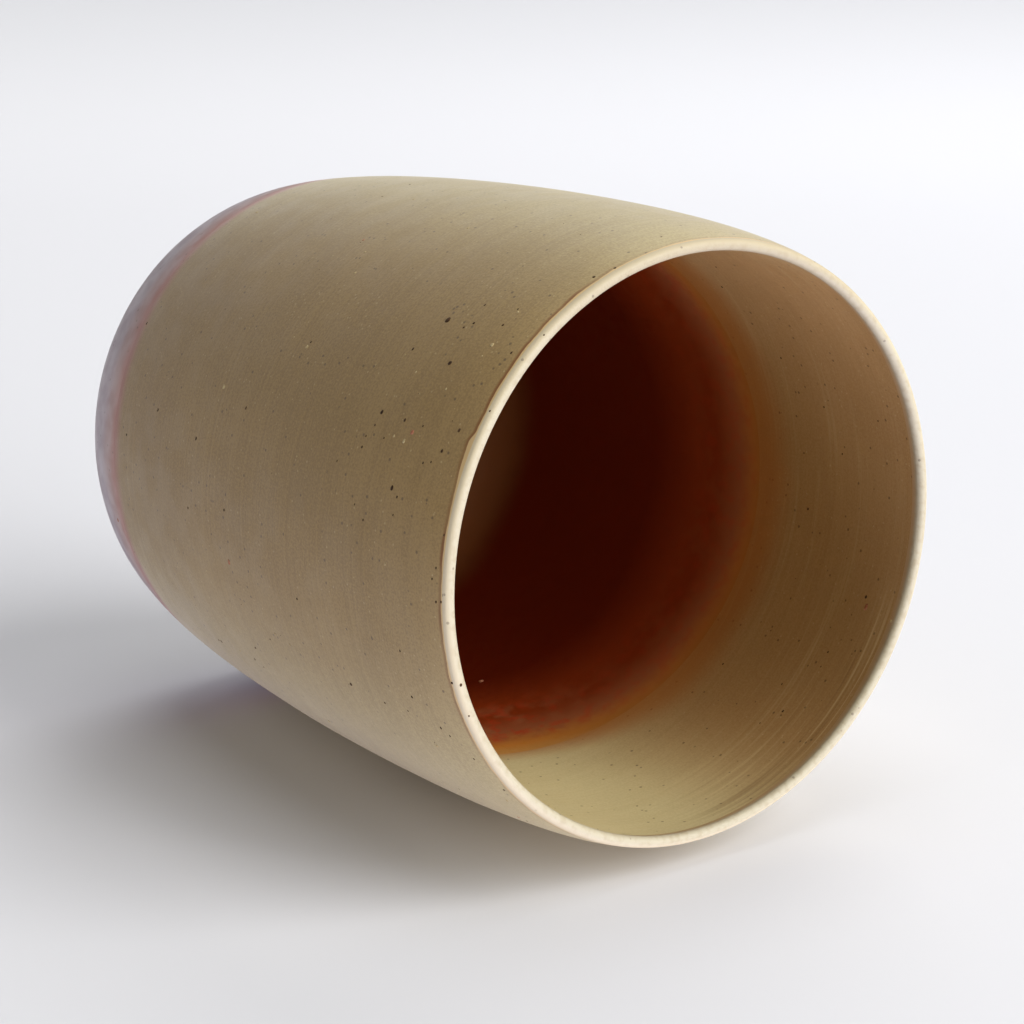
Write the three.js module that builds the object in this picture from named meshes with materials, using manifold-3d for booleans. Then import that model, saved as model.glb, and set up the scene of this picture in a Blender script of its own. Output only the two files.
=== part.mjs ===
// A thrown stoneware beaker without a handle, in millimetres, standing upright with +Z along its axis.
// The origin is the centre of the flat foot. Bare clay shows at the lip and at the foot. Everywhere else the
// clay carries a fired coat, engobe or glaze, that lies flush in a shallow recess of the clay.
import * as THREE from 'three';
import { mergeVertices } from 'three/addons/utils/BufferGeometryUtils.js';
import Module from 'manifold-3d';

const wasm = await Module();
wasm.setup();

// Driving dimensions of the clay
const HEIGHT = 102; // foot to the top of the lip
const MOUTH_RADIUS = 39; // outside of the lip
const LIP_THICKNESS = 1.5; // measured square to the wall
const LIP_TUCK = 15; // degrees that the wall leans in at the lip
const SHOULDER_REACH = 16; // how far down the wall that lean is felt
const FOOT_RADIUS = 30; // flat disc that the cup stands on
const HEEL_ROUND = 6.2; // outside rounding from the foot to the wall
const HEEL_FLARE = 28; // degrees that the wall leans out above the heel
const HIP_REACH = 13; // how far up the wall that lean is felt
const FLOOR_THICKNESS = 6;
const FLOOR_ROUND = 10; // inside rounding from the floor to the wall
const FOOT_WALL = 3.6; // thickness of the wall at the floor

// Driving dimensions of the coats
const COAT = 0.35; // thickness of engobe and glaze
const LIP_BARE_OUTSIDE = 0.25; // bare clay below the rounding of the lip, outside
const LIP_BARE_INSIDE = 0.85; // the same, inside
const FOOT_BARE = 2; // bare clay above the table
const FOOT_GLAZE_TOP = 15.2; // height of the glaze line outside
const LINER_LINE = 58.4; // height of the glaze line inside, on the axis
const LINER_SLANT = 13.5; // degrees that this line is out of level
const LINER_HIGH_SIDE = 209; // its high side, in degrees from +X towards +Y

// Facets
const ROUND_FACETS = 48;
const HEEL_STEPS = 3;
const FOOT_GLAZE_STEPS = 4;
const WALL_STEPS = 9;
const LIP_STEPS = 6;
const FLOOR_ROUND_STEPS = 4;
const SEARCH_STEPS = 40;

const { degToRad, mapLinear, lerp } = THREE.MathUtils;
const tuck = degToRad(LIP_TUCK);
const flare = degToRad(HEEL_FLARE);
const at = (radius, height) => new THREE.Vector2(radius, height);
const towards = (angle) => at(Math.cos(angle), Math.sin(angle));
const along = (start, direction, distance) => start.clone().addScaledVector(direction, distance);
const steps = (count, make) => Array.from({ length: count + 1 }, (_, i) => make(i / count));

// The outside outline: an arc for the heel, one curve for the wall, half a circle for the lip
const lipRound = LIP_THICKNESS / 2;
const lipCentre = at(MOUTH_RADIUS - lipRound * Math.cos(tuck), HEIGHT - lipRound);
const lipOutside = along(lipCentre, towards(tuck), lipRound);
const lipInside = along(lipCentre, towards(tuck), -lipRound);
const heelCentre = at(FOOT_RADIUS, HEEL_ROUND);
const heelTop = along(heelCentre, towards(-flare), HEEL_ROUND);
const wall = new THREE.CubicBezierCurve(
  heelTop,
  along(heelTop, towards(Math.PI / 2 - flare), HIP_REACH),
  along(lipOutside, towards(tuck - Math.PI / 2), SHOULDER_REACH),
  lipOutside,
);

// Where a height meets an arc: the angle from the arc's centre
const arcAngle = (centre, radius, height) => Math.asin((height - centre.y) / radius);

// Where a height meets the wall curve, which only rises: its parameter, by halving
function wallParameter(height) {
  let low = 0;
  let high = 1;
  for (let i = 0; i < SEARCH_STEPS; i += 1) {
    const middle = (low + high) / 2;
    if (wall.getPoint(middle).y < height) low = middle;
    else high = middle;
  }
  return (low + high) / 2;
}

// A point of the outside at a height, with the direction that points out of the clay there
function outsideAt(height) {
  if (height < heelTop.y) {
    const out = towards(arcAngle(heelCentre, HEEL_ROUND, height));
    return { point: along(heelCentre, out, HEEL_ROUND), out };
  }
  const parameter = wallParameter(height);
  const tangent = wall.getTangent(parameter);
  return { point: wall.getPoint(parameter), out: at(tangent.y, -tangent.x) };
}

// The inside follows the outside at the wall's thickness and turns into the floor on an arc
const lipWidth = outsideAt(lipInside.y).point.x - lipInside.x;
const wallThickness = (height) => mapLinear(height, FLOOR_THICKNESS, lipInside.y, FOOT_WALL, lipWidth);
const insideRadius = (height) => outsideAt(height).point.x - wallThickness(height);
const cornerHeight = FLOOR_THICKNESS + FLOOR_ROUND;
const cornerOut = outsideAt(cornerHeight).out;
const cornerTop = cornerHeight + FLOOR_ROUND * cornerOut.y;
const cornerCentre = at(insideRadius(cornerTop) - FLOOR_ROUND * cornerOut.x, cornerHeight);

// A point of the inside at a height, with the direction that points into the clay there
function insideAt(height) {
  if (height < cornerTop) {
    const out = towards(arcAngle(cornerCentre, FLOOR_ROUND, height));
    return { point: along(cornerCentre, out, FLOOR_ROUND), out };
  }
  return { point: at(insideRadius(height), height), out: outsideAt(height).out };
}

// A stretch of coated wall: the coat's face and the clay under it, from one height up to another
function coated(side, depth, low, high, count) {
  const stations = steps(count, (share) => side(lerp(low, high, share)));
  return {
    face: stations.map(({ point }) => point),
    clay: stations.map(({ point, out }) => along(point, out, depth)),
  };
}

const lipLineOutside = lipOutside.y - LIP_BARE_OUTSIDE;
const lipLineInside = lipInside.y - LIP_BARE_INSIDE;
const footGlaze = coated(outsideAt, -COAT, FOOT_BARE, FOOT_GLAZE_TOP, FOOT_GLAZE_STEPS);
const outerWall = coated(outsideAt, -COAT, FOOT_GLAZE_TOP, lipLineOutside, WALL_STEPS);
const innerWall = coated(insideAt, COAT, cornerTop, lipLineInside, WALL_STEPS);

// The flat floor and its rounded corner, from the axis out to where the inner wall takes over
const cornerAngle = Math.atan2(cornerOut.y, cornerOut.x);
const corner = (radius) => steps(FLOOR_ROUND_STEPS, (share) =>
  along(cornerCentre, towards(lerp(-Math.PI / 2, cornerAngle, share)), radius)).slice(0, -1);
const floorFace = [at(0, FLOOR_THICKNESS), ...corner(FLOOR_ROUND)];
const floorClay = [at(0, FLOOR_THICKNESS - COAT), ...corner(FLOOR_ROUND + COAT)];

// Bare clay: the heel up to the glaze, in steps that start small where the heel is flattest, and the lip from
// the outside coat over to the inside coat
const bareHeel = steps(HEEL_STEPS, (share) => outsideAt(FOOT_BARE * share ** 2).point);
const bareLip = [
  outerWall.face.at(-1),
  ...steps(LIP_STEPS, (share) => along(lipCentre, towards(tuck + share * Math.PI), lipRound)),
  innerWall.face.at(-1),
];

// Turns an outline of radius and height round the Z axis
const turned = (outline) => new THREE.LatheGeometry(outline, ROUND_FACETS).rotateX(Math.PI / 2);
const closed = (outline) => [...outline, outline[0]];
const down = (points) => [...points].reverse();

// A turned outline or a block as a solid that can be cut, without the slivers that a lathe leaves on its axis
function solidOf(geometry) {
  geometry.deleteAttribute('normal');
  geometry.deleteAttribute('uv');
  const merged = mergeVertices(geometry);
  const triangles = [];
  for (let i = 0; i < merged.index.count; i += 3) {
    const corners = [0, 1, 2].map((k) => merged.index.getX(i + k));
    if (new Set(corners).size === corners.length) triangles.push(...corners);
  }
  return new wasm.Manifold(new wasm.Mesh({
    numProp: 3,
    vertProperties: new Float32Array(merged.attributes.position.array),
    triVerts: new Uint32Array(triangles),
  }));
}

function geometryOf(solid) {
  const mesh = solid.getMesh();
  const geometry = new THREE.BufferGeometry();
  geometry.setAttribute('position', new THREE.BufferAttribute(mesh.vertProperties, mesh.numProp));
  geometry.setIndex(new THREE.BufferAttribute(mesh.triVerts, 1));
  geometry.computeVertexNormals();
  return geometry;
}

// Everything above the slanted glaze line, as a block that is wide and high enough for the whole cup
const blockSize = 4 * (HEIGHT + MOUTH_RADIUS + FOOT_RADIUS);
const aboveLinerLine = new THREE.BoxGeometry(blockSize, blockSize, blockSize)
  .translate(0, 0, blockSize / 2)
  .rotateY(-degToRad(LINER_SLANT))
  .rotateZ(degToRad(LINER_HIGH_SIDE))
  .translate(0, 0, LINER_LINE);

const innerCoat = solidOf(turned([
  ...floorClay, ...innerWall.clay,
  ...down(innerWall.face), ...down(floorFace),
]));
const upperBlock = solidOf(aboveLinerLine);

const cup = new THREE.Group();
function add(name, finish, geometry) {
  const mesh = new THREE.Mesh(geometry, new THREE.MeshStandardMaterial({ ...finish, metalness: 0 }));
  mesh.name = name;
  cup.add(mesh);
}

const CLAY = { color: 0xe0d8bb, roughness: 0.7 };
const ENGOBE = { color: 0x8f7c58, roughness: 0.85 };
const LINER = { color: 0x3a1208, roughness: 0.2 };
const FOOT_GLAZE = { color: 0x9c8e92, roughness: 0.35 };
add('clay_body', CLAY, turned([
  at(0, 0), ...bareHeel, ...footGlaze.clay, ...outerWall.clay.slice(1),
  ...bareLip, ...down(innerWall.clay), ...down(floorClay),
]));
add('outer_engobe', ENGOBE, turned(closed([...outerWall.face, ...down(outerWall.clay)])));
add('inner_engobe', ENGOBE, geometryOf(innerCoat.intersect(upperBlock)));
add('liner_glaze', LINER, geometryOf(innerCoat.subtract(upperBlock)));
add('foot_glaze', FOOT_GLAZE, turned(closed([...footGlaze.face, ...down(footGlaze.clay)])));

export default cup;
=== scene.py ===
# %% [markdown]
# # A thrown beaker
# The imported model is the frame: five closed solids, the clay and its four fired coats, that fit each
# other exactly but are cut into flat facets. In this lesson each of them is replaced by a smooth piece
# of the same size, turned as a potter would turn it, and then finished with clay, engobe and glaze.

# %% Load the frame
import math
import random
from itertools import pairwise

import bpy
from mathutils import Matrix, Vector
from mathutils.geometry import interpolate_bezier


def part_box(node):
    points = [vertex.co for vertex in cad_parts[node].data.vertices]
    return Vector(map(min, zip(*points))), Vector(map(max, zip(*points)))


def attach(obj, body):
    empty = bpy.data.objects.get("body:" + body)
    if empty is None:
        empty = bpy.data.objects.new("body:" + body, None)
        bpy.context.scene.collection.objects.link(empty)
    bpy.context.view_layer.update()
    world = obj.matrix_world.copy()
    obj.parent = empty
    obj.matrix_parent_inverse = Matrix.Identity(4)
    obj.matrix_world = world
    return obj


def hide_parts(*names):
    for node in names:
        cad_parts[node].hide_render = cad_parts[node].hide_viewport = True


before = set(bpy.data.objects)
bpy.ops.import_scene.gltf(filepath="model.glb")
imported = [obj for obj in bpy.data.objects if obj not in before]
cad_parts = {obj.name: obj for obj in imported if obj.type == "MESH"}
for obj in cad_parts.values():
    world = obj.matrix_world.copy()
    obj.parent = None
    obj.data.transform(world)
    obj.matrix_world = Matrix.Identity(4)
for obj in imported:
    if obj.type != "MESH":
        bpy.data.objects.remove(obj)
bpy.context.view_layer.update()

# %% [markdown]
# ## The outline of the cup
# A thrown pot is one outline turned round an axis. The outside is an arc for the heel, one curve for
# the wall and half a circle for the lip. A curve through many measured points would wave, so the wall
# is a single Bezier curve: it leaves the heel at one angle, arrives at the lip at another, and swells
# in between. The values are the ones that the solids were drawn with, and the two coat lines are read
# from the solids themselves.

# %% Outside outline
MM = 0.001
HEIGHT = 102 * MM
MOUTH_RADIUS = 39 * MM
LIP_ROUND = 0.75 * MM
LIP_TUCK = math.radians(15)
SHOULDER_REACH = 16 * MM
FOOT_RADIUS = 30 * MM
HEEL_ROUND = 6.2 * MM
HEEL_FLARE = math.radians(28)
HIP_REACH = 13 * MM
HEEL_STEPS = 12
WALL_STEPS = 72
LIP_STEPS = 16


def towards(angle, reach=1.0):
    """A step in the plane of the outline, radius first and height second."""
    return Vector((reach * math.cos(angle), reach * math.sin(angle)))


def arc(centre, radius, start, end, count):
    """Points along an arc, both ends included."""
    turn = (end - start) / count
    return [centre + towards(start + turn * step, radius) for step in range(count + 1)]


lip_centre = Vector((MOUTH_RADIUS - LIP_ROUND * math.cos(LIP_TUCK), HEIGHT - LIP_ROUND))
lip = arc(lip_centre, LIP_ROUND, LIP_TUCK, LIP_TUCK + math.pi, LIP_STEPS)
heel_centre = Vector((FOOT_RADIUS, HEEL_ROUND))
heel = arc(heel_centre, HEEL_ROUND, -math.pi / 2, -HEEL_FLARE, HEEL_STEPS)
wall = interpolate_bezier(
    heel[-1],
    heel[-1] + towards(math.pi / 2 - HEEL_FLARE, HIP_REACH),
    lip[0] + towards(LIP_TUCK - math.pi / 2, SHOULDER_REACH),
    lip[0],
    WALL_STEPS,
)
outside = heel + [point.xy for point in wall[1:]]
belly = max(outside, key=lambda point: point.x)
print(f"outside: {len(outside)} points, belly {belly.x / MM:.2f} mm at height {belly.y / MM:.1f} mm")

# %% [markdown]
# ## The inside outline
# The inside follows the outside at the thickness of the wall, which thins evenly from the floor up to
# the lip, and turns into the flat floor on an arc. Taking it from the outside keeps the wall true
# everywhere, which a second free curve would not.


# %% Read an outline
def at_height(outline, height):
    """The point of a rising outline at a height."""
    for below, above in pairwise(outline):
        if above.y >= height:
            return below.lerp(above, (height - below.y) / (above.y - below.y))
    return outline[-1].copy()


def facing(outline, height):
    """The direction out of the clay, seen from the axis, at a height of a rising outline."""
    reach = 0.2 * MM
    rise = at_height(outline, height + reach) - at_height(outline, height - reach)
    return Vector((rise.y, -rise.x)).normalized()


lip_inside = lip[-1]
lip_width = at_height(outside, lip_inside.y).x - lip_inside.x
print(f"lip {lip_width / MM:.2f} mm wide, measured level")

# %% Inside outline
FLOOR_THICKNESS = 6 * MM
FLOOR_ROUND = 10 * MM
FOOT_WALL = 3.6 * MM
CORNER_STEPS = 14


def wall_thickness(height):
    """The width of the wall, measured level."""
    share = (height - FLOOR_THICKNESS) / (lip_inside.y - FLOOR_THICKNESS)
    return FOOT_WALL + share * (lip_width - FOOT_WALL)


corner_height = FLOOR_THICKNESS + FLOOR_ROUND
corner_out = facing(outside, corner_height)
corner_top = corner_height + FLOOR_ROUND * corner_out.y
corner_radius = at_height(outside, corner_top).x - wall_thickness(corner_top) - FLOOR_ROUND * corner_out.x
corner_centre = Vector((corner_radius, corner_height))
corner_angle = math.atan2(corner_out.y, corner_out.x)
corner = arc(corner_centre, FLOOR_ROUND, -math.pi / 2, corner_angle, CORNER_STEPS)
risers = [point for point in outside if corner_top < point.y < lip_inside.y]
inner_wall = [Vector((point.x - wall_thickness(point.y), point.y)) for point in risers]
inside = corner + inner_wall + [lip_inside]
print(f"inside: {len(inside)} points above a floor of {FLOOR_THICKNESS / MM:.1f} mm")

# %% [markdown]
# ## Turning an outline into a piece
# By hand one would place a vertex, extrude it from point to point along the outline and spin the chain
# round the axis. That is what this helper does. The seam and the poles are merged before the normals
# are recalculated, so that the piece is one closed skin that faces outwards.

# %% Turn an outline
ROUND_STEPS = 216
WELD = 0.002 * MM


def close_skin():
    """Merges doubled points and turns every face outwards, in edit mode."""
    bpy.ops.mesh.select_all(action="SELECT")
    bpy.ops.mesh.remove_doubles(threshold=WELD)
    bpy.ops.mesh.normals_make_consistent(inside=False)


def turned(name, outline):
    """A chain of edges along the outline, spun once round the Z axis."""
    bpy.ops.object.select_all(action="DESELECT")
    bpy.ops.mesh.primitive_plane_add(size=MM)
    piece = bpy.context.object
    piece.name = piece.data.name = name
    bpy.ops.object.mode_set(mode="EDIT")
    bpy.ops.mesh.select_all(action="SELECT")
    bpy.ops.mesh.merge(type="CENTER")
    bpy.ops.transform.translate(value=(outline[0].x, 0, outline[0].y))
    for here, there in pairwise(outline):
        step = there - here
        bpy.ops.mesh.extrude_region_move(TRANSFORM_OT_translate={"value": (step.x, 0, step.y)})
    bpy.ops.mesh.select_all(action="SELECT")
    bpy.ops.mesh.spin(steps=ROUND_STEPS, angle=math.tau, center=(0, 0, 0), axis=(0, 0, 1))
    close_skin()
    bpy.ops.object.mode_set(mode="OBJECT")
    return piece


print(f"each outline is spun in {ROUND_STEPS} steps of {360 / ROUND_STEPS:.2f} degrees")

# %% [markdown]
# ## A hand in the clay
# Nothing off a wheel is perfectly round. A Displace modifier with soft clouds pushes every point about
# a tenth of a millimetre along X, and another along Y. Both read only where a point is, so all the
# pieces give way together and the coats stay in their seats.

# %% Wobble of the hand
WOBBLE_SIZE = 38 * MM
WOBBLE_PUSH = 0.4 * MM
SHARP = math.radians(40)
hand_clouds = bpy.data.textures.new("hand_clouds", type="CLOUDS")
hand_clouds.noise_scale = WOBBLE_SIZE
print(f"soft clouds of about {WOBBLE_SIZE / MM:.0f} mm push every skin alike")


def only(piece):
    """Leaves one object selected and active."""
    bpy.ops.object.select_all(action="DESELECT")
    piece.select_set(True)
    bpy.context.view_layer.objects.active = piece


def finish_shape(piece):
    """Gives a piece the wobble that all share, and smooth shading between its sharp edges."""
    only(piece)
    for direction in ("X", "Y"):
        push = piece.modifiers.new("hand", "DISPLACE")
        push.texture = hand_clouds
        push.direction = direction
        push.strength = WOBBLE_PUSH
        bpy.ops.object.modifier_apply(modifier=push.name)
    bpy.ops.object.shade_smooth_by_angle(angle=SHARP)
    print(piece.name, len(piece.data.polygons), "faces")


# %% [markdown]
# ## The clay and the coats outside
# The clay is one skin from the middle of the foot over the lip to the middle of the floor, set back by
# the thickness of a coat wherever a coat lies on it. Each coat is a closed ring between its two lines.


# %% Stretches of an outline
def between(outline, low, high):
    """The stretch of a rising outline between two heights."""
    middle = [point for point in outline if low + WELD < point.y < high - WELD]
    return [at_height(outline, low), *middle, at_height(outline, high)]


def set_back(outline, stretch, depth):
    """The same stretch, moved along the direction out of the clay."""
    return [point + facing(outline, point.y) * depth for point in stretch]


print("a stretch lies between two heights, and can be set back into the clay")

# %% Clay, outer engobe and foot glaze
COAT = 0.35 * MM
LIP_BARE_OUTSIDE = 0.25 * MM
LIP_BARE_INSIDE = 0.85 * MM
foot_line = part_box("foot_glaze")[0].z
glaze_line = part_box("foot_glaze")[1].z
lip_line = max(point.y for point in outside) - LIP_BARE_OUTSIDE
inner_lip_line = lip_inside.y - LIP_BARE_INSIDE

bare_heel = between(outside, 0, foot_line)
glaze_face = between(outside, foot_line, glaze_line)
engobe_face = between(outside, glaze_line, lip_line)
bare_lip = [*between(outside, lip_line, lip[0].y), *lip[1:], at_height(inside, inner_lip_line)]
floor_middle = Vector((0, FLOOR_THICKNESS))
under = Vector((0, -COAT))

inner_face = between(inside, FLOOR_THICKNESS, inner_lip_line)
inner_back = [corner[0] + under, *set_back(inside, inner_face[1:], COAT)]
glaze_back = set_back(outside, glaze_face, -COAT)
engobe_back = set_back(outside, engobe_face, -COAT)

clay_outline = [Vector((0, 0)), *bare_heel, *glaze_back, *engobe_back[1:]]
clay_outline += [*bare_lip, *reversed(inner_back), floor_middle + under]
clay_body = turned("thrown_clay", clay_outline)
outer_engobe = turned("outer_engobe_coat", [*engobe_face, *reversed(engobe_back), engobe_face[0]])
foot_glaze = turned("foot_glaze_coat", [*glaze_face, *reversed(glaze_back), glaze_face[0]])
coat_lines = [round(line / MM, 1) for line in (foot_line, glaze_line, lip_line)]
print("coats of", round(COAT / MM, 2), "mm, with lines at", coat_lines, "mm")

# %% [markdown]
# ## The coats inside
# Inside, the glaze was poured and tipped out, so its line runs at a slant. Both inner coats start as
# the same turned lining. A bisect along the slanted plane throws away what lies below it for the engobe
# and what lies above it for the glaze, and bridging the two rims of the cut closes each skin again.

# %% Inner engobe and liner glaze
LINER_LINE = 58.4 * MM
LINER_SLANT = math.radians(13.5)
LINER_HIGH_SIDE = math.radians(209)
liner_normal = Vector((
    -math.sin(LINER_SLANT) * math.cos(LINER_HIGH_SIDE),
    -math.sin(LINER_SLANT) * math.sin(LINER_HIGH_SIDE),
    math.cos(LINER_SLANT),
))
lining = [floor_middle + under, *inner_back, *reversed(inner_face), floor_middle]


def part_of_lining(name, keep_above):
    """The lining on one side of the slanted glaze line."""
    piece = turned(name, lining)
    bpy.ops.object.mode_set(mode="EDIT")
    bpy.ops.mesh.select_all(action="SELECT")
    bpy.ops.mesh.bisect(
        plane_co=(0, 0, LINER_LINE),
        plane_no=liner_normal,
        clear_inner=keep_above,
        clear_outer=not keep_above,
        threshold=WELD,
    )
    bpy.ops.mesh.select_mode(type="EDGE")
    bpy.ops.mesh.select_all(action="DESELECT")
    bpy.ops.mesh.select_non_manifold()
    bpy.ops.mesh.bridge_edge_loops()
    bpy.ops.mesh.select_mode(type="VERT")
    close_skin()
    bpy.ops.object.mode_set(mode="OBJECT")
    return piece


inner_engobe = part_of_lining("inner_engobe_coat", True)
liner_glaze = part_of_lining("liner_glaze_coat", False)
skins = [clay_body, outer_engobe, foot_glaze, inner_engobe, liner_glaze]
for skin in skins:
    finish_shape(skin)

# %% [markdown]
# ## The camera
# The cup lies on its belly in the photograph, with its mouth towards the viewer. In the frame it
# stands, so the camera is turned instead: the ground is a plane that touches the belly, and the camera
# holds that ground level.

# %% Camera
PHOTO_SIZE = 1024
FOCAL_PIXELS = 2500
CAMERA_AT = Vector((196.775, 76.780, 334.710)) * MM
CAMERA_AIM = Vector((-5.319, 1.579, 56.489)) * MM
GROUND_UP = Vector((0.7066, -0.7071, 0.0266)).normalized()
SENSOR_WIDTH = 36

back = (CAMERA_AT - CAMERA_AIM).normalized()
right = GROUND_UP.cross(back).normalized()
up = back.cross(right)
away = GROUND_UP.cross(right)
camera_turn = Matrix((right, up, back)).transposed().to_euler()
bpy.ops.object.camera_add(location=CAMERA_AT, rotation=camera_turn)
camera = bpy.context.object
camera.name = "photo_camera"
camera.data.sensor_width = SENSOR_WIDTH
camera.data.lens = FOCAL_PIXELS / PHOTO_SIZE * SENSOR_WIDTH
bpy.context.scene.camera = camera
print(f"camera {(CAMERA_AT - CAMERA_AIM).length / MM:.0f} mm from its aim, lens {camera.data.lens:.1f} mm")

# %% [markdown]
# ## One grain
# Stoneware clay holds iron, which melts into dark specks, and grog, which is ground fired clay and
# shows as pale grains. They stand a few hundredths of a millimetre proud of the coats, so they are
# modelled and not painted. One grain starts as a small ball, shaken out of round and flattened, and
# every other grain is a copy of it.

# %% One grain
GRAIN_SHAKE = 0.12
SHAKE_SEED = 4
GRAIN_FLATNESS = 0.25
GRAIN_SEGMENTS = 8
GRAIN_RINGS = 5

bpy.ops.object.select_all(action="DESELECT")
bpy.ops.mesh.primitive_uv_sphere_add(segments=GRAIN_SEGMENTS, ring_count=GRAIN_RINGS, radius=0.5)
grain = bpy.context.object
bpy.ops.object.mode_set(mode="EDIT")
bpy.ops.mesh.select_all(action="SELECT")
bpy.ops.transform.vertex_random(offset=GRAIN_SHAKE, seed=SHAKE_SEED)
bpy.ops.transform.resize(value=(1, 1, GRAIN_FLATNESS))
bpy.ops.object.mode_set(mode="OBJECT")
bpy.ops.object.shade_smooth()
print("one grain:", len(grain.data.polygons), "faces")

# %% [markdown]
# ## Where the grains lie
# The larger grains of the photograph are laid along the lines of sight of their pixels, on whatever
# skin such a line meets first. The sides that the photograph doesn't show get grains at random, from a
# seeded dice. All lie with their long side the way the wheel turned, which is how the brush drags them.

# %% Places for grains
MARK_BLUR = 0.8
DICE_SEED = 11
dice = random.Random(DICE_SEED)


def first_hit(start, direction):
    """The nearest point of the skins along a line, and the way out of the cup there."""
    hits = [skin.ray_cast(start, direction.normalized()) for skin in skins]
    found = [(spot, out) for met, spot, out, _ in hits if met]
    return min(found, key=lambda hit: (hit[0] - start).length)


def in_photo(marks):
    """Where marks of the photograph lie. A mark is a pixel, across and down, and a length in mm."""
    spots = []
    for across, down, length in marks:
        sight = right * (across - PHOTO_SIZE / 2) - up * (down - PHOTO_SIZE / 2) - back * FOCAL_PIXELS
        spots.append((*first_hit(CAMERA_AT, sight), length * MARK_BLUR * MM))
    return spots


def strewn(count, low, high, shortest, longest, outwards):
    """Grains at random between two heights: on the outside, or outwards from the axis on the inside."""
    spots = []
    for _ in range(count):
        angle = dice.uniform(0, math.tau)
        radial = Vector((math.cos(angle), math.sin(angle), 0))
        on_axis = Vector((0, 0, dice.uniform(low, high)))
        line = (on_axis, radial) if outwards else (on_axis + radial * HEIGHT, -radial)
        length = shortest + (longest - shortest) * dice.random() ** 3
        spots.append((*first_hit(*line), length * MM))
    return spots


print("places for grains are looked for on", len(skins), "skins")

# %% Lay grains on the skins
WIDTH_SHARE = 0.62


def grains(name, spots):
    """One piece of joined copies of the grain, flat on the skins."""
    bpy.ops.object.select_all(action="DESELECT")
    for spot, out, length in spots:
        copy = grain.copy()
        copy.data = grain.data.copy()
        bpy.context.collection.objects.link(copy)
        side = out.cross(Vector((0, 0, 1)).cross(out)).normalized()
        width = length * dice.uniform(WIDTH_SHARE, 1)
        turn = Matrix((side.cross(out), side, out)).transposed().to_4x4()
        copy.matrix_world = Matrix.Translation(spot) @ turn @ Matrix.Diagonal((length, width, width, 1))
        copy.select_set(True)
        bpy.context.view_layer.objects.active = copy
    bpy.ops.object.join()
    bpy.ops.object.transform_apply(location=True, rotation=True, scale=True)
    piece = bpy.context.object
    piece.name = piece.data.name = name
    print(name, len(spots), "grains,", len(piece.data.polygons), "faces")
    return piece


print("a grain is at least", WIDTH_SHARE, "times as wide as it is long")

# %% Iron specks
IRON_IN_PHOTO = (
    (448, 320, 1.10), (485, 305, 0.45), (474, 323, 0.50), (503, 325, 0.50), (518, 309, 0.35),
    (413, 349, 0.60), (450, 363, 0.75), (382, 412, 0.75), (405, 420, 0.60), (423, 426, 0.35),
    (442, 451, 0.60), (423, 463, 0.40), (431, 462, 0.35), (337, 461, 0.40), (362, 447, 0.45),
    (375, 425, 0.40), (366, 436, 0.35), (384, 438, 0.35), (392, 488, 0.85), (397, 497, 0.45),
    (393, 515, 0.40), (363, 520, 0.40), (297, 599, 0.45), (594, 277, 0.50), (615, 268, 0.50),
    (311, 342, 0.45), (400, 651, 0.45), (412, 697, 0.50), (385, 703, 0.40), (408, 711, 0.40),
    (452, 683, 0.45), (444, 535, 0.40), (436, 568, 0.45), (432, 579, 0.40), (436, 602, 0.45),
    (441, 602, 0.45), (450, 736, 0.40), (474, 759, 0.40), (459, 789, 0.35), (504, 790, 0.45),
    (527, 821, 0.50), (158, 410, 0.60), (246, 408, 0.60), (188, 508, 0.50), (224, 510, 0.50),
    (490, 411, 0.35), (544, 335, 0.32), (461, 685, 0.55), (469, 716, 0.35), (783, 711, 0.60),
    (782, 684, 0.40), (828, 652, 0.40), (723, 664, 0.45), (722, 287, 0.50), (716, 267, 0.40),
    (781, 358, 0.45), (824, 407, 0.40), (804, 453, 0.40), (808, 509, 0.45), (878, 421, 0.35),
    (866, 597, 0.60), (760, 723, 0.35), (637, 806, 0.40),
)
UNDER_LIP = 100 * MM
IRON_OUTSIDE = 100
IRON_INSIDE = 16
bpy.context.view_layer.update()
iron_spots = in_photo(IRON_IN_PHOTO)
iron_spots += strewn(IRON_OUTSIDE, glaze_line, UNDER_LIP, 0.14, 0.6, outwards=False)
iron_spots += strewn(IRON_INSIDE, 70 * MM, 99 * MM, 0.14, 0.4, outwards=True)
iron_specks = grains("iron_specks", iron_spots)

# %% Grog
GROG_IN_PHOTO = (
    (492, 345, 0.75), (446, 389, 0.45), (404, 441, 0.80), (394, 436, 0.50), (518, 312, 0.45),
    (405, 355, 0.45), (416, 372, 0.40), (482, 356, 0.35), (307, 347, 0.70), (355, 273, 0.60),
    (365, 252, 0.50), (297, 456, 0.50), (224, 387, 0.80), (468, 228, 0.50), (437, 746, 0.60),
    (275, 634, 0.55), (290, 645, 0.50), (891, 621, 0.60),
)
RED_IN_PHOTO = ((229, 562, 1.0), (866, 607, 1.3), (481, 681, 1.1), (118, 520, 0.8))
GROG_OUTSIDE = 60
RED_OUTSIDE = 4
grog_spots = in_photo(GROG_IN_PHOTO)
grog_spots += strewn(GROG_OUTSIDE, glaze_line, UNDER_LIP, 0.18, 0.6, outwards=False)
pale_grog = grains("pale_grog", grog_spots)
red_spots = in_photo(RED_IN_PHOTO)
red_spots += strewn(RED_OUTSIDE, 20 * MM, 95 * MM, 0.4, 0.9, outwards=False)
red_grog = grains("red_grog", red_spots)
bpy.data.objects.remove(grain)

# %% [markdown]
# ## Helpers for finishes
# A fired surface is never one colour, so every finish is a small tree of nodes. They all read Object
# coordinates, which are metres on the cup, so sizes in the trees are real sizes. These helpers add a
# node with its settings in one line, which keeps each finish short enough to read. More helpers follow
# where a finish first needs them.


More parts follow.
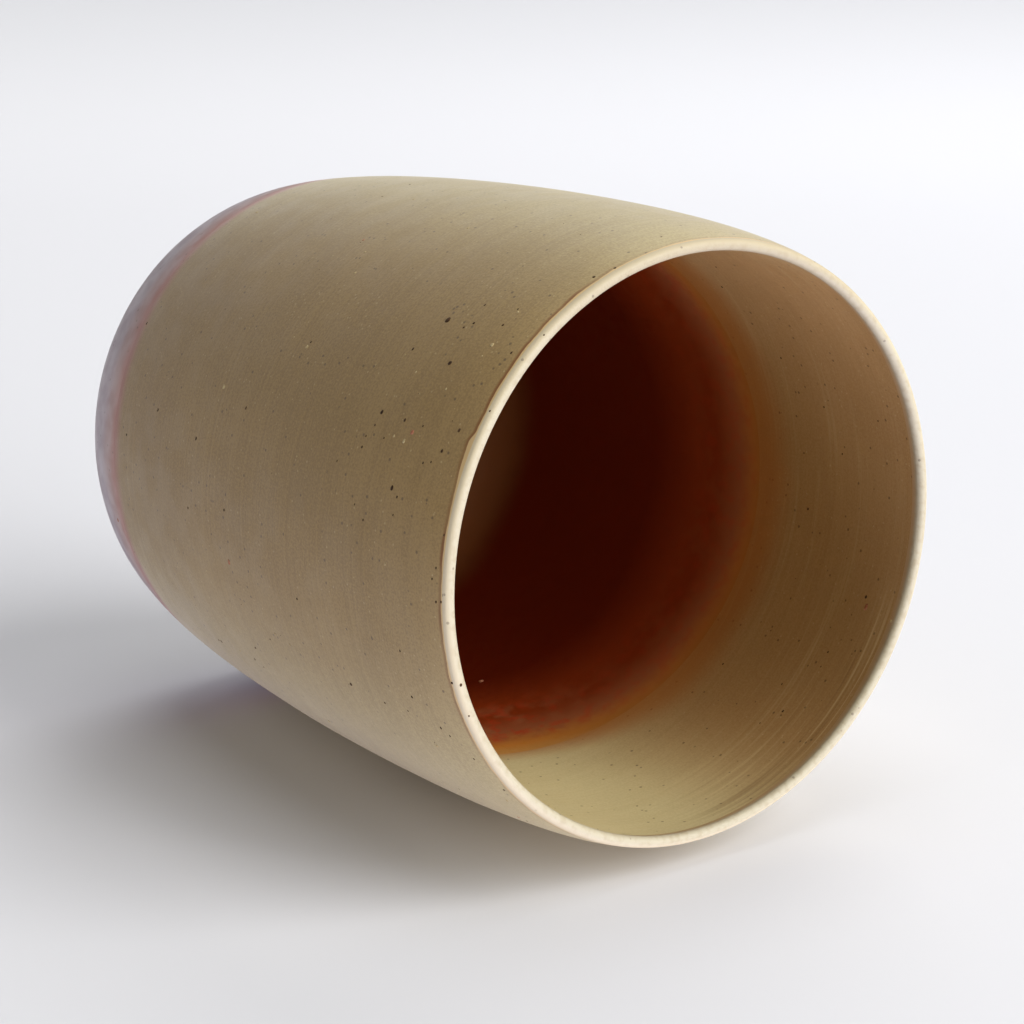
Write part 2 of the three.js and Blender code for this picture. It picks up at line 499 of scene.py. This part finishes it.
# %% Colours and nodes
def fired(red, green, blue):
    """A colour as a paint chart gives it, 0 to 255, made linear for the shader."""
    def linear(value):
        share = value / 255
        return share / 12.92 if share <= 0.04045 else ((share + 0.055) / 1.055) ** 2.4
    return (linear(red), linear(green), linear(blue), 1.0)


def feed(tree, socket, value):
    """Sets an input, or links it where the value is a socket."""
    if isinstance(value, bpy.types.NodeSocket):
        tree.links.new(value, socket)
    else:
        socket.default_value = value


def node(tree, kind, **values):
    """A node with its settings and inputs."""
    made = tree.nodes.new("ShaderNode" + kind)
    for name, value in values.items():
        if hasattr(made, name):
            setattr(made, name, value)
        else:
            feed(tree, made.inputs[name.replace("_", " ")], value)
    return made


print("a middle grey is", round(fired(128, 128, 128)[0], 3), "of full light")


# %% Blends, fades and a new finish
def blend(tree, share, first, second):
    """A mix of two colours, by the colour sockets of a Mix node."""
    made = node(tree, "Mix", data_type="RGBA", Factor=share)
    feed(tree, made.inputs[6], first)
    feed(tree, made.inputs[7], second)
    return made.outputs[2]


def fade(tree, value, start, end, low=0.0, high=1.0):
    """Goes smoothly from low to high while a value goes from start to end."""
    made = node(
        tree, "MapRange", interpolation_type="SMOOTHSTEP",
        Value=value, From_Min=start, From_Max=end, To_Min=low, To_Max=high,
    )
    return made.outputs[0]


def new_finish(name, piece):
    """A material on a piece, with its tree, its shader and the place of each point on the piece."""
    material = bpy.data.materials.new(name)
    material.use_nodes = True
    piece.data.materials.clear()
    piece.data.materials.append(material)
    tree = material.node_tree
    place = node(tree, "TexCoord").outputs["Object"]
    return tree, tree.nodes["Principled BSDF"], place


print("a finish starts from its shader and the place of each point")

# %% [markdown]
# ## The ground
# The ground is a wide pale sheet that touches the lowest point of the belly and sweeps up far behind.
# It starts as a plane whose far edge is extruded upwards, and the corner is bevelled. It shows only
# from its upper side and lets light from below pass, so that the cup can be looked at from below too.

# %% Ground
GROUND_SIZE = 3.0
GROUND_FRONT = 2.0
SWEEP_HEIGHT = 1.2
SWEEP_ROUND = 0.55
SWEEP_STEPS = 24
lowest = max(-vertex.co.dot(GROUND_UP) for vertex in outer_engobe.data.vertices)
ground_turn = Matrix((right, away, GROUND_UP)).transposed()
ground_middle = (GROUND_SIZE / 2 - GROUND_FRONT) * away - lowest * GROUND_UP
bpy.ops.object.select_all(action="DESELECT")
bpy.ops.mesh.primitive_plane_add(size=GROUND_SIZE, location=ground_middle, rotation=ground_turn.to_euler())
ground = bpy.context.object
ground.name = "ground"


def select_far_edge():
    """Selects the far edge of the flat ground, for the next step in edit mode."""
    bpy.ops.object.mode_set(mode="EDIT")
    bpy.ops.mesh.select_mode(type="EDGE")
    bpy.ops.mesh.select_all(action="DESELECT")
    bpy.ops.object.mode_set(mode="OBJECT")
    for edge in ground.data.edges:
        ends = [ground.data.vertices[index].co for index in edge.vertices]
        edge.select = all(end.y > 0 and abs(end.z) < MM for end in ends)
    bpy.ops.object.mode_set(mode="EDIT")


select_far_edge()
bpy.ops.mesh.extrude_region_move(TRANSFORM_OT_translate={"value": SWEEP_HEIGHT * GROUND_UP})
select_far_edge()
bpy.ops.mesh.bevel(offset=SWEEP_ROUND, segments=SWEEP_STEPS)
bpy.ops.object.mode_set(mode="OBJECT")
bpy.ops.object.shade_smooth()
print(f"ground {lowest / MM:.2f} mm from the axis of the foot, {len(ground.data.polygons)} faces")

# %% Ground finish
GROUND_PALE = fired(214, 214, 217)
GROUND_LEFT_SHADE = fired(198, 198, 200)
SWEEP_SHADE_GREY = fired(165, 166, 168)
LEFT_TO_RIGHT = 0.3
SWEEP_SHADE = 0.12


def make_clear(tree, shader, share):
    """Mixes a clear surface into a finish. The share of it is a socket."""
    mixed = node(tree, "MixShader", Fac=share)
    tree.links.new(shader.outputs[0], mixed.inputs[1])
    tree.links.new(node(tree, "BsdfTransparent").outputs[0], mixed.inputs[2])
    tree.links.new(mixed.outputs[0], tree.nodes["Material Output"].inputs["Surface"])


tree, shader, place = new_finish("pale_ground", ground)
across, _, rising = node(tree, "SeparateXYZ", Vector=place).outputs
# Painted shade: the ground is painted darker towards the left, where less window light falls, and greyer
# up the sweep, which the suns would light too brightly.
flat = blend(tree, fade(tree, across, -LEFT_TO_RIGHT, LEFT_TO_RIGHT), GROUND_LEFT_SHADE, GROUND_PALE)
pale = blend(tree, fade(tree, rising, 0.0, SWEEP_SHADE), flat, SWEEP_SHADE_GREY)
tree.links.new(pale, shader.inputs["Base Color"])
shader.inputs["Roughness"].default_value = 0.9
shader.inputs["Specular IOR Level"].default_value = 0.1
make_clear(tree, shader, node(tree, "NewGeometry").outputs["Backfacing"])
ground.visible_shadow = False
print("ground is pale, shows from above only and lets light from below pass")

# %% [markdown]
# ## The dark part of the table
# A pale table throws light back up at the cup, and two of the lights below stand for that. Where the
# cup lies on it, though, the table is in the dark and throws little. A strip just under the ground,
# hidden from the camera, holds part of that light back there. It starts as a plane, and its finish
# turns clear towards all four edges, because such a shadow has no outline.


# %% Sums and products
def sum_of(tree, operation, *values):
    """One sum of numbers and sockets."""
    made = node(tree, "Math", operation=operation)
    for index, value in enumerate(values):
        feed(tree, made.inputs[index], value)
    return made.outputs[0]


def times(tree, first, *others):
    """The product of numbers and sockets."""
    for other in others:
        first = sum_of(tree, "MULTIPLY", first, other)
    return first


print("numbers and sockets can be added and multiplied")

# %% Strip under the cup
STRIP_FOOT = -24 * MM
STRIP_MOUTH = 88 * MM
STRIP_WIDTH = 64 * MM
STRIP_DEPTH = 0.5 * MM
strip_sides = (STRIP_MOUTH - STRIP_FOOT, STRIP_WIDTH)
middle = Vector((0, 0, (STRIP_FOOT + STRIP_MOUTH) / 2))
lying = (Vector((0, 0, 1)) - GROUND_UP.z * GROUND_UP).normalized()
strip_turn = Matrix((lying, GROUND_UP.cross(lying), GROUND_UP)).transposed()
strip_middle = middle - (middle.dot(GROUND_UP) + lowest + STRIP_DEPTH) * GROUND_UP
bpy.ops.object.select_all(action="DESELECT")
bpy.ops.mesh.primitive_plane_add(size=1, location=strip_middle, rotation=strip_turn.to_euler())
strip = bpy.context.object
strip.name = "unlit_strip"
strip.scale = (*strip_sides, 1)
bpy.ops.object.transform_apply(location=False, rotation=False, scale=True)
print("strip under the cup:", [round(side, 3) for side in strip.dimensions])

# %% Strip finish
STRIP_FADE = 24 * MM
UNLIT = 0.55
tree, shader, place = new_finish("unlit_table", strip)
shade = UNLIT
for part, side in zip(node(tree, "SeparateXYZ", Vector=place).outputs, strip_sides):
    inwards = fade(tree, sum_of(tree, "ABSOLUTE", part), side / 2, side / 2 - STRIP_FADE)
    shade = times(tree, inwards, shade)
make_clear(tree, shader, sum_of(tree, "SUBTRACT", 1.0, shade))
strip.visible_camera = False
print(f"the strip holds back {UNLIT:.0%} of the light, and less towards its edges")

# %% [markdown]
# ## The light
# The light in the photograph is daylight: a long window, low in front on the right and higher on the
# right, with less from behind and from above and a little from the left. Two more come from below, and
# stand for what the pale table throws back. Each is a broad sun, because a sun lights the whole ground
# evenly. A table of directions is easier to tune than lamps that were dragged into place.

# %% Light
WINDOW_WIDTH = math.radians(40)
DAYLIGHT = (1.0, 1.0, 1.0)
OFF_TABLE = (0.96, 0.94, 1.3)
WINDOWS = {
    "low_window": (-45, 12, 2.5, DAYLIGHT),
    "right_window": (0, 12, 0.8, DAYLIGHT),
    "high_window": (-22.5, 40, 2.4, DAYLIGHT),
    "back_window": (67.5, 40, 1.1, DAYLIGHT),
    "left_fill": (202.5, 40, 0.26, DAYLIGHT),
    "top_fill": (0, 90, 0.9, DAYLIGHT),
    "table_left": (225, -45, 0.95, OFF_TABLE),
    "table_front": (-45, -45, 2.1, OFF_TABLE),
}
for name, (round_from_right, above_ground, strength, colour) in WINDOWS.items():
    turn = math.radians(round_from_right)
    rise = math.radians(above_ground)
    level = right * math.cos(turn) + away * math.sin(turn)
    source = level * math.cos(rise) + GROUND_UP * math.sin(rise)
    bpy.ops.object.light_add(type="SUN", rotation=source.to_track_quat("Z", "Y").to_euler())
    window = bpy.context.object
    window.name = name
    window.data.energy = strength
    window.data.color = colour
    window.data.angle = WINDOW_WIDTH
    print(name, "from", [round(part, 2) for part in source])

# %% [markdown]
# ## The sky
# Past the ground the camera sees a pale sky. A sky as strong as that would light the cup from all sides
# and wash out its shading, so it is pale only to look at, and gives little light.

# %% Sky
DIM_SKY = 0.04
SEEN_SKY = 0.85
SKY_COLOUR = (0.95, 0.97, 1.0, 1.0)
world = bpy.data.worlds.new("pale_sky")
world.use_nodes = True
tree = world.node_tree
seen = node(tree, "LightPath").outputs["Is Camera Ray"]
strength = node(tree, "MapRange", Value=seen, To_Min=DIM_SKY, To_Max=SEEN_SKY).outputs[0]
sky = tree.nodes["Background"]
sky.inputs["Color"].default_value = SKY_COLOUR
tree.links.new(strength, sky.inputs["Strength"])
bpy.context.scene.world = world
bpy.context.scene.view_settings.view_transform = "Standard"
print("the sky is pale to look at and gives little light")

# %% [markdown]
# ## Engobe
# Engobe is a thin slip that fires matte. Brushed on the turning wheel, it keeps very fine lines all
# round, with fine freckles of iron and sand. Three patterns make it: soft noise, noise drawn out round
# the axis, and round spots in some cells of a Voronoi texture. Their helpers take real sizes, so that a
# finish reads like a recipe. Outside and inside share this ground, which each finish then varies.


# %% Mottling, lines of the wheel and freckles
def mottle(tree, place, size, detail=2.0):
    """Soft noise with spots of about a size in metres."""
    return node(tree, "TexNoise", Vector=place, Scale=1 / size, Detail=detail).outputs[0]


def wheel_lines(tree, place, length, height):
    """Noise drawn out round the axis, as the wheel draws it: its lines have a length and a height."""
    drawn = node(tree, "Mapping", Vector=place, Scale=(1 / length, 1 / length, 1 / height)).outputs[0]
    return node(tree, "TexNoise", Vector=drawn, Scale=1.0, Detail=4.0, Roughness=0.65).outputs[0]


def freckles(tree, place, spacing, radius, share):
    """Round spots in a share of the cells of a given spacing. The radius is in cells."""
    cells = node(tree, "TexVoronoi", Vector=place, Scale=1 / spacing)
    spot = fade(tree, cells.outputs["Distance"], radius, radius * 0.6)
    lot = node(tree, "SeparateColor", Color=cells.outputs["Color"]).outputs[0]
    return times(tree, spot, fade(tree, lot, 1 - share, 1 - share * 0.8))


print("patterns: mottling, lines of the wheel and freckles")

# %% Engobe
SAND = fired(196, 178, 132)
IRON_BROWN = fired(70, 52, 34)
LINE_LENGTH = 55 * MM
LINE_HEIGHT = 0.42 * MM
CLOUD = 16 * MM
BITE = 0.3 * MM


def engobe(tree, place, light, deep):
    """Two tones of slip in clouds and fine lines, with freckles. Gives the colour and the lines."""
    lines = wheel_lines(tree, place, LINE_LENGTH, LINE_HEIGHT)
    clouds = mottle(tree, place, CLOUD, 3.0)
    bite = mottle(tree, place, BITE, 3.0)
    tone = sum_of(tree, "MULTIPLY_ADD", lines, 0.3, times(tree, clouds, 0.2))
    tone = sum_of(tree, "MULTIPLY_ADD", bite, 0.5, tone)
    slip = blend(tree, fade(tree, tone, 0.38, 0.62), deep, light)
    sandy = times(tree, freckles(tree, place, 0.7 * MM, 0.25, 0.14), 0.3)
    irony = times(tree, freckles(tree, place, 1.1 * MM, 0.22, 0.2), 0.65)
    return blend(tree, irony, blend(tree, sandy, slip, SAND), IRON_BROWN), lines


print(f"engobe keeps lines about {LINE_HEIGHT / MM:.2f} mm high")

# %% [markdown]
# ## Outer engobe
# At the lip the engobe was wiped, so the clay shows past a ragged line, with one longer nick, and iron
# has gathered along that line in a thin brown seam. One side is painted darker and browner: painted shade.
# Towards the foot glaze the slip blushes red. Ragged noise is added to the height before the lines are
# drawn, so each line wanders as a wiped one does.

# %% Sides, heights and relief
BUMP_STRENGTH = 0.5


def along(tree, place, direction):
    """Metres from the origin along a direction."""
    made = node(tree, "VectorMath", operation="DOT_PRODUCT")
    feed(tree, made.inputs[0], place)
    made.inputs[1].default_value = direction
    return made.outputs["Value"]


def towards_side(tree, place, side, start, end):
    """Goes from 0 to 1 towards a side of the cup, in degrees from X. Start and end are in metres."""
    out = (math.cos(math.radians(side)), math.sin(math.radians(side)), 0)
    return fade(tree, along(tree, place, out), start, end)


def height_on(tree, place):
    """Metres above the foot."""
    return node(tree, "SeparateXYZ", Vector=place).outputs[2]


def wandering(tree, place, value, size, reach, detail=2.0):
    """A value with mottling added, up to a reach, so that a line drawn along it wanders."""
    return sum_of(tree, "MULTIPLY_ADD", mottle(tree, place, size, detail), reach, value)


def raise_relief(tree, shader, relief, depth):
    """Turns a value into a bump of a depth in metres."""
    bump = node(tree, "Bump", Height=relief, Strength=BUMP_STRENGTH, Distance=depth)
    tree.links.new(bump.outputs[0], shader.inputs["Normal"])


print("a finish can change with the side, the height and a line that wanders")

# %% Outer engobe slip
OLIVE = fired(167, 151, 105)
OLIVE_DEEP = fired(149, 132, 89)
SHADE_BROWN = fired(147, 120, 71)
SHADE_BROWN_DEEP = fired(130, 104, 59)
SHADED_SIDE = 22

tree, shader, place = new_finish("outer_engobe_finish", outer_engobe)
# Painted shade: towards this side the slip is painted darker and browner, as the wall in shade.
shaded = towards_side(tree, place, SHADED_SIDE, 17 * MM, 40 * MM)
light = blend(tree, shaded, OLIVE, SHADE_BROWN)
deep = blend(tree, shaded, OLIVE_DEEP, SHADE_BROWN_DEEP)
colour, lines = engobe(tree, place, light, deep)
print("outer slip browned towards", SHADED_SIDE, "degrees")

# %% Wiped line at the lip
SEAM_BROWN = fired(116, 74, 28)
WIPED_CLAY = fired(188, 158, 106)
NICK_AT = math.radians(14)
NICK_STEP = 2.5 / 360
NICK_TURN = 15 / 360
NICK_DEPTH = 0.45 * MM
RAGGED = 0.5 * MM

height = height_on(tree, place)
turned_to_nick = node(tree, "Mapping", Vector=place, Rotation=(0, 0, -math.pi - NICK_AT)).outputs[0]
round_from_nick = node(tree, "TexGradient", gradient_type="RADIAL", Vector=turned_to_nick).outputs["Fac"]
nick_starts = fade(tree, round_from_nick, 0.0, NICK_STEP)
nick = times(tree, nick_starts, fade(tree, round_from_nick, NICK_TURN, NICK_STEP))
edge = wandering(tree, place, height, 3.5 * MM, RAGGED, 3.0)
edge = sum_of(tree, "MULTIPLY_ADD", nick, NICK_DEPTH, edge)
# The seam is painted stronger on the side of the painted shade.
seam = times(
    tree,
    fade(tree, edge, lip_line - 0.55 * MM, lip_line - 0.15 * MM),
    fade(tree, mottle(tree, place, 7 * MM), 0.38, 0.6, 0.5, 1.0),
    fade(tree, shaded, 0.0, 0.7, 0.2, 1.0),
)
wiped = fade(tree, edge, lip_line + 0.02 * MM, lip_line + 0.08 * MM)
print(f"wiped line at {lip_line / MM:.2f} mm, with a nick of {NICK_DEPTH / MM:.2f} mm")

# %% Blush, shine and relief of the outer engobe
BLUSH = fired(150, 100, 84)
blushing = wandering(tree, place, height, 14 * MM, -3 * MM)
blush = fade(tree, blushing, glaze_line + 1.5 * MM, glaze_line - 1.5 * MM)
colour = blend(tree, blush, colour, BLUSH)
colour = blend(tree, wiped, blend(tree, seam, colour, SEAM_BROWN), WIPED_CLAY)
tree.links.new(colour, shader.inputs["Base Color"])
dullness = fade(tree, mottle(tree, place, 5 * MM), 0.3, 0.7, 0.46, 0.6)
tree.links.new(dullness, shader.inputs["Roughness"])
shader.inputs["Sheen Weight"].default_value = 0.2
shader.inputs["Sheen Roughness"].default_value = 0.4
relief = sum_of(tree, "ADD", mottle(tree, place, 0.38 * MM), lines)
raise_relief(tree, shader, relief, 0.05 * MM)
print("outer engobe finished, with", len(tree.nodes), "nodes")

# %% [markdown]
# ## Inner engobe
# The same slip, seen inside, is warmer, and one side is painted darker, as painted shade. The wheel left
# coarser streaks, a finger dragged pale and dark ones under the lip, and towards the glaze iron has bled
# into it as an orange halo. The halo follows the height above the slanted line, which is the distance from
# its plane: a dot product with the normal of that plane. The glaze will use the same height.

# %% Height above the slanted line
INNER_SHADE_SIDE = 225
INNER_SHADE_WIDTH = 24 * MM
SHADE_SIDE_LIFT = 4 * MM
LINER_WANDER = 2 * MM


def above_liner_line(tree, place, inner_shade, size):
    """Metres above the slanted glaze line, which wanders and seems higher on the side of the painted
    shade.
    """
    level = sum_of(tree, "SUBTRACT", along(tree, place, liner_normal), LINER_LINE * liner_normal.z)
    level = wandering(tree, place, level, size, LINER_WANDER)
    return sum_of(tree, "MULTIPLY_ADD", inner_shade, -SHADE_SIDE_LIFT, level)


slant = round(math.degrees(LINER_SLANT), 1)
print(f"glaze line at {LINER_LINE / MM:.1f} mm on the axis, at a slant of {slant} degrees")

# %% Inner engobe slip
PALE_INSIDE = fired(197, 183, 137)
PALE_INSIDE_DEEP = fired(187, 172, 126)
SHADE_TAN = fired(166, 133, 88)
SHADE_TAN_DEEP = fired(155, 121, 76)

tree, shader, place = new_finish("inner_engobe_finish", inner_engobe)
# Painted shade: towards this side the slip is painted darker and warmer, as the inside wall in shade.
inner_shade = towards_side(tree, place, INNER_SHADE_SIDE, 0, INNER_SHADE_WIDTH)
light = blend(tree, inner_shade, PALE_INSIDE, SHADE_TAN)
deep = blend(tree, inner_shade, PALE_INSIDE_DEEP, SHADE_TAN_DEEP)
colour, lines = engobe(tree, place, light, deep)
streaks = wheel_lines(tree, place, 40 * MM, 1.3 * MM)
colour = blend(tree, fade(tree, streaks, 0.52, 0.72, 0.0, 0.3), colour, deep)
colour = blend(tree, fade(tree, streaks, 0.45, 0.3, 0.0, 0.15), colour, SAND)
print("inner slip darkened towards", INNER_SHADE_SIDE, "degrees")

# %% Finger streaks, halo and relief of the inner engobe
FINGER_PALE = fired(214, 194, 146)
FINGER_DEEP = fired(128, 102, 66)
FINGER_SIDE = 172
HALO = fired(160, 98, 38)

under_lip = fade(tree, height_on(tree, place), HEIGHT - 20 * MM, HEIGHT - 6 * MM)
finger = times(tree, towards_side(tree, place, FINGER_SIDE, 29 * MM, 37 * MM), under_lip)
ridges = wheel_lines(tree, place, 60 * MM, 1.1 * MM)
pale_drag = times(tree, finger, fade(tree, ridges, 0.5, 0.66, 0.0, 0.5))
deep_drag = times(tree, finger, fade(tree, ridges, 0.46, 0.32, 0.0, 0.5))
colour = blend(tree, deep_drag, blend(tree, pale_drag, colour, FINGER_PALE), FINGER_DEEP)
rise = above_liner_line(tree, place, inner_shade, 12 * MM)
halo = times(tree, fade(tree, rise, 5 * MM, -2 * MM, 0.0, 0.9), fade(tree, inner_shade, 0.0, 1.0, 1.0, 0.75))
colour = blend(tree, halo, colour, HALO)
tree.links.new(colour, shader.inputs["Base Color"])
dullness = fade(tree, mottle(tree, place, 5 * MM), 0.3, 0.7, 0.42, 0.55)
tree.links.new(dullness, shader.inputs["Roughness"])
shader.inputs["Specular IOR Level"].default_value = 0.25
relief = sum_of(tree, "ADD", streaks, lines)
raise_relief(tree, shader, relief, 0.05 * MM)
print("inner engobe finished, with", len(tree.nodes), "nodes")

# %% [markdown]
# ## Liner glaze
# An iron glaze lines the cup. Where it is thin, at its edge, it fires orange, then a mottled grey
# violet with red embers, and where it is thick a deep red brown. On the side of the painted shade its
# edge is painted a darker brown and its bands darker, as painted shade. The floor, where it pooled, went
# olive brown. A ramp of colours on the depth below the slanted line gives these bands, and noise is
# added to that depth so that they wander.


# %% A ramp of colours
def ramp(tree, value, *stops):
    """A colour that follows a value through stops, each a value and its colour, from low to high."""
    low, high = stops[0][0], stops[-1][0]
    share = node(tree, "MapRange", Value=value, From_Min=low, From_Max=high).outputs[0]
    made = node(tree, "ValToRGB", Fac=share)
    colours = made.color_ramp.elements
    colours[0].color = stops[0][1]
    colours[1].color = stops[-1][1]
    for stop, colour in stops[1:-1]:
        colours.new((stop - low) / (high - low)).color = colour
    return made.outputs[0]


print("a ramp follows a value through its colours")

# %% Bands of the liner glaze
EDGE_GOLD = fired(178, 128, 66)
EDGE_ORANGE = fired(180, 116, 48)
GREY_VIOLET = fired(145, 83, 50)
RUST = fired(133, 52, 17)
DEEP_RED = fired(92, 23, 2)

tree, shader, place = new_finish("liner_glaze_finish", liner_glaze)
inner_shade = towards_side(tree, place, INNER_SHADE_SIDE, 0, INNER_SHADE_WIDTH)
rise = above_liner_line(tree, place, inner_shade, 11 * MM)
bands = ramp(
    tree, rise,
    (-25 * MM, DEEP_RED), (-16 * MM, RUST), (-12 * MM, RUST), (-7 * MM, GREY_VIOLET),
    (-2 * MM, EDGE_ORANGE), (0, EDGE_GOLD), (2 * MM, EDGE_GOLD),
)
print("liner glaze banded, with", len(tree.nodes), "nodes so far")

# %% Embers, painted shade and pool
EMBER = fired(172, 56, 24)
EDGE_SHADE_BROWN = fired(136, 88, 42)
POOL_BROWN = fired(110, 66, 36)

violet = fade(tree, mottle(tree, place, 2.6 * MM, 4.0), 0.42, 0.66)
near_edge = times(
    tree,
    fade(tree, rise, -20 * MM, -11 * MM),
    fade(tree, rise, -2 * MM, -6 * MM),
    fade(tree, inner_shade, 0.0, 1.0, 1.0, 0.3),
)
bands = blend(tree, times(tree, violet, near_edge), bands, GREY_VIOLET)
embers = fade(tree, mottle(tree, place, 2.0 * MM, 4.0), 0.46, 0.68, 0.0, 0.75)
bands = blend(tree, times(tree, embers, near_edge), bands, EMBER)
# Painted shade: on the side of the painted shade the deep bands go darker and the gold edge browner.
shade_on_bands = times(tree, inner_shade, fade(tree, rise, -6 * MM, -12 * MM, 0.0, 0.3))
bands = blend(tree, shade_on_bands, bands, DEEP_RED)
shade_on_edge = times(tree, inner_shade, fade(tree, rise, -5 * MM, -1 * MM, 0.0, 0.85))
bands = blend(tree, shade_on_edge, bands, EDGE_SHADE_BROWN)
pooled = wandering(tree, place, height_on(tree, place), 8 * MM, 3 * MM)
colour = blend(tree, fade(tree, pooled, 20 * MM, 13 * MM), bands, POOL_BROWN)
tree.links.new(colour, shader.inputs["Base Color"])
tree.links.new(fade(tree, violet, 0.0, 1.0, 0.34, 0.5), shader.inputs["Roughness"])
shader.inputs["Specular IOR Level"].default_value = 0.2
raise_relief(tree, shader, wheel_lines(tree, place, 40 * MM, 1.8 * MM), 0.05 * MM)
print("liner glaze finished, with", len(tree.nodes), "nodes")

# %% [markdown]
# ## Foot glaze
# Outside, the foot was dipped in a glaze that fired to a greyed lavender with a soft shine. Along its
# upper edge it runs into the engobe as a thin red line. The height of a point decides how far it is
# into that edge, again with noise, so that the line runs unevenly.

# %% Foot glaze finish
LAVENDER = fired(156, 141, 144)
LAVENDER_DEEP = fired(142, 126, 129)
PINK = fired(153, 122, 113)
RED_LINE = fired(156, 107, 92)

tree, shader, place = new_finish("foot_glaze_finish", foot_glaze)
colour = blend(tree, fade(tree, mottle(tree, place, 5 * MM, 4.0), 0.35, 0.65), LAVENDER_DEEP, LAVENDER)
running = wandering(tree, place, height_on(tree, place), 6 * MM, 2 * MM)
colour = blend(tree, fade(tree, running, glaze_line - 6 * MM, glaze_line - 1 * MM), colour, PINK)
colour = blend(tree, fade(tree, running, glaze_line - 1.5 * MM, glaze_line + 1.2 * MM), colour, RED_LINE)
specks = times(tree, freckles(tree, place, 1.2 * MM, 0.2, 0.2), 0.6)
colour = blend(tree, specks, colour, IRON_BROWN)
tree.links.new(colour, shader.inputs["Base Color"])
tree.links.new(fade(tree, mottle(tree, place, 3 * MM), 0.3, 0.7, 0.3, 0.45), shader.inputs["Roughness"])
raise_relief(tree, shader, mottle(tree, place, 1.5 * MM, 3.0), 0.04 * MM)
print(f"foot glaze finished, with its red line at {glaze_line / MM:.1f} mm")

# %% [markdown]
# ## Bare clay
# The lip and the foot are bare clay: cream, with a sandy bite and a few freckles. The outer edge of the
# lip is painted paler, as painted light, its inner edge takes the darker tan that the slip has in its
# painted shade, and one side is painted darker, as painted shade. Distance from the axis tells the outer
# edge of the lip from its top. The foot keeps the fine rings of the turning tool, so its relief has the
# wheel's lines in it.

# %% Bare clay finish
CREAM = fired(166, 157, 133)
CREAM_DEEP = fired(146, 131, 102)
LIP_LIGHT_CREAM = fired(191, 177, 145)
CLAY_SHADE_SIDE = 315

tree, shader, place = new_finish("bare_clay_finish", clay_body)
sand_bite = fade(tree, mottle(tree, place, 0.9 * MM, 4.0), 0.42, 0.7, 0.0, 0.45)
colour = blend(tree, sand_bite, CREAM, CREAM_DEEP)
height = height_on(tree, place)
upper = fade(tree, height, HEIGHT / 2, HEIGHT / 1.5)
flat_place = node(tree, "VectorMath", operation="MULTIPLY")
feed(tree, flat_place.inputs[0], place)
flat_place.inputs[1].default_value = (1, 1, 0)
from_axis = node(tree, "VectorMath", operation="LENGTH")
feed(tree, from_axis.inputs[0], flat_place.outputs[0])
# Painted light: the outer rounding of the lip, which turns from the light, is painted paler.
painted_light_lip = fade(tree, from_axis.outputs["Value"], MOUTH_RADIUS - 0.8 * MM, MOUTH_RADIUS, 0.0, 0.9)
colour = blend(tree, times(tree, painted_light_lip, upper), colour, LIP_LIGHT_CREAM)
# Painted shade: the clay is painted darker towards one side.
dimmed = times(tree, towards_side(tree, place, CLAY_SHADE_SIDE, 20 * MM, 38 * MM), 0.45)
colour = blend(tree, dimmed, colour, CREAM_DEEP)
inside_lip = fade(tree, height, lip_inside.y + 0.35 * MM, lip_inside.y - 0.6 * MM, 0.0, 0.8)
colour = blend(tree, times(tree, inside_lip, upper), colour, SHADE_TAN)
specks = times(tree, freckles(tree, place, 1.3 * MM, 0.18, 0.2), 0.5)
colour = blend(tree, specks, colour, IRON_BROWN)
tree.links.new(colour, shader.inputs["Base Color"])
shader.inputs["Roughness"].default_value = 0.55
sandy = sum_of(tree, "ADD", mottle(tree, place, 0.3 * MM), wheel_lines(tree, place, 30 * MM, 0.6 * MM))
raise_relief(tree, shader, sandy, 0.05 * MM)
print("bare clay finished, smoked towards", CLAY_SHADE_SIDE, "degrees")

# %% [markdown]
# ## Finishes of the grains
# Iron fires to a dark, dull brown. Grog is pale, and some of it is red from iron. Grains are too small
# for more than two tones and a slight relief, so one helper finishes all three kinds.


# %% Grain finishes
def grain_finish(name, piece, light, deep, roughness):
    """Two tones with a slight relief, for grains that are too small for more."""
    tree, shader, place = new_finish(name, piece)
    colour = blend(tree, fade(tree, mottle(tree, place, 0.6 * MM), 0.35, 0.65), deep, light)
    tree.links.new(colour, shader.inputs["Base Color"])
    shader.inputs["Roughness"].default_value = roughness
    shader.inputs["Specular IOR Level"].default_value = 0.2
    raise_relief(tree, shader, mottle(tree, place, 0.12 * MM), 0.02 * MM)
    print(name, "finished")


IRON_TONES = (fired(78, 56, 36), fired(54, 38, 24))
GROG_TONES = (fired(182, 164, 122), fired(164, 144, 102))
RED_TONES = (fired(176, 124, 96), fired(150, 96, 68))
grain_finish("melted_iron", iron_specks, *IRON_TONES, roughness=0.9)
grain_finish("pale_grog_finish", pale_grog, *GROG_TONES, roughness=0.7)
grain_finish("red_grog_finish", red_grog, *RED_TONES, roughness=0.6)

# %% [markdown]
# ## Tying the pieces to the frame
# Each turned piece stands for one solid, and the grains belong to the clay. Every piece rides on the
# one body that the cup has.

# %% Tie each piece to the frame
pieces = {
    clay_body: ("clay_body", "bare_clay"),
    outer_engobe: ("outer_engobe", "outer_engobe"),
    inner_engobe: ("inner_engobe", "inner_engobe"),
    liner_glaze: ("liner_glaze", "liner_glaze"),
    foot_glaze: ("foot_glaze", "foot_glaze"),
}
for piece, (solid, slot) in pieces.items():
    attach(piece, "root")
    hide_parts(solid)
for piece in (iron_specks, pale_grog, red_grog):
    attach(piece, "root")
print(len(pieces), "pieces stand for solids, and three kinds of grains ride along")
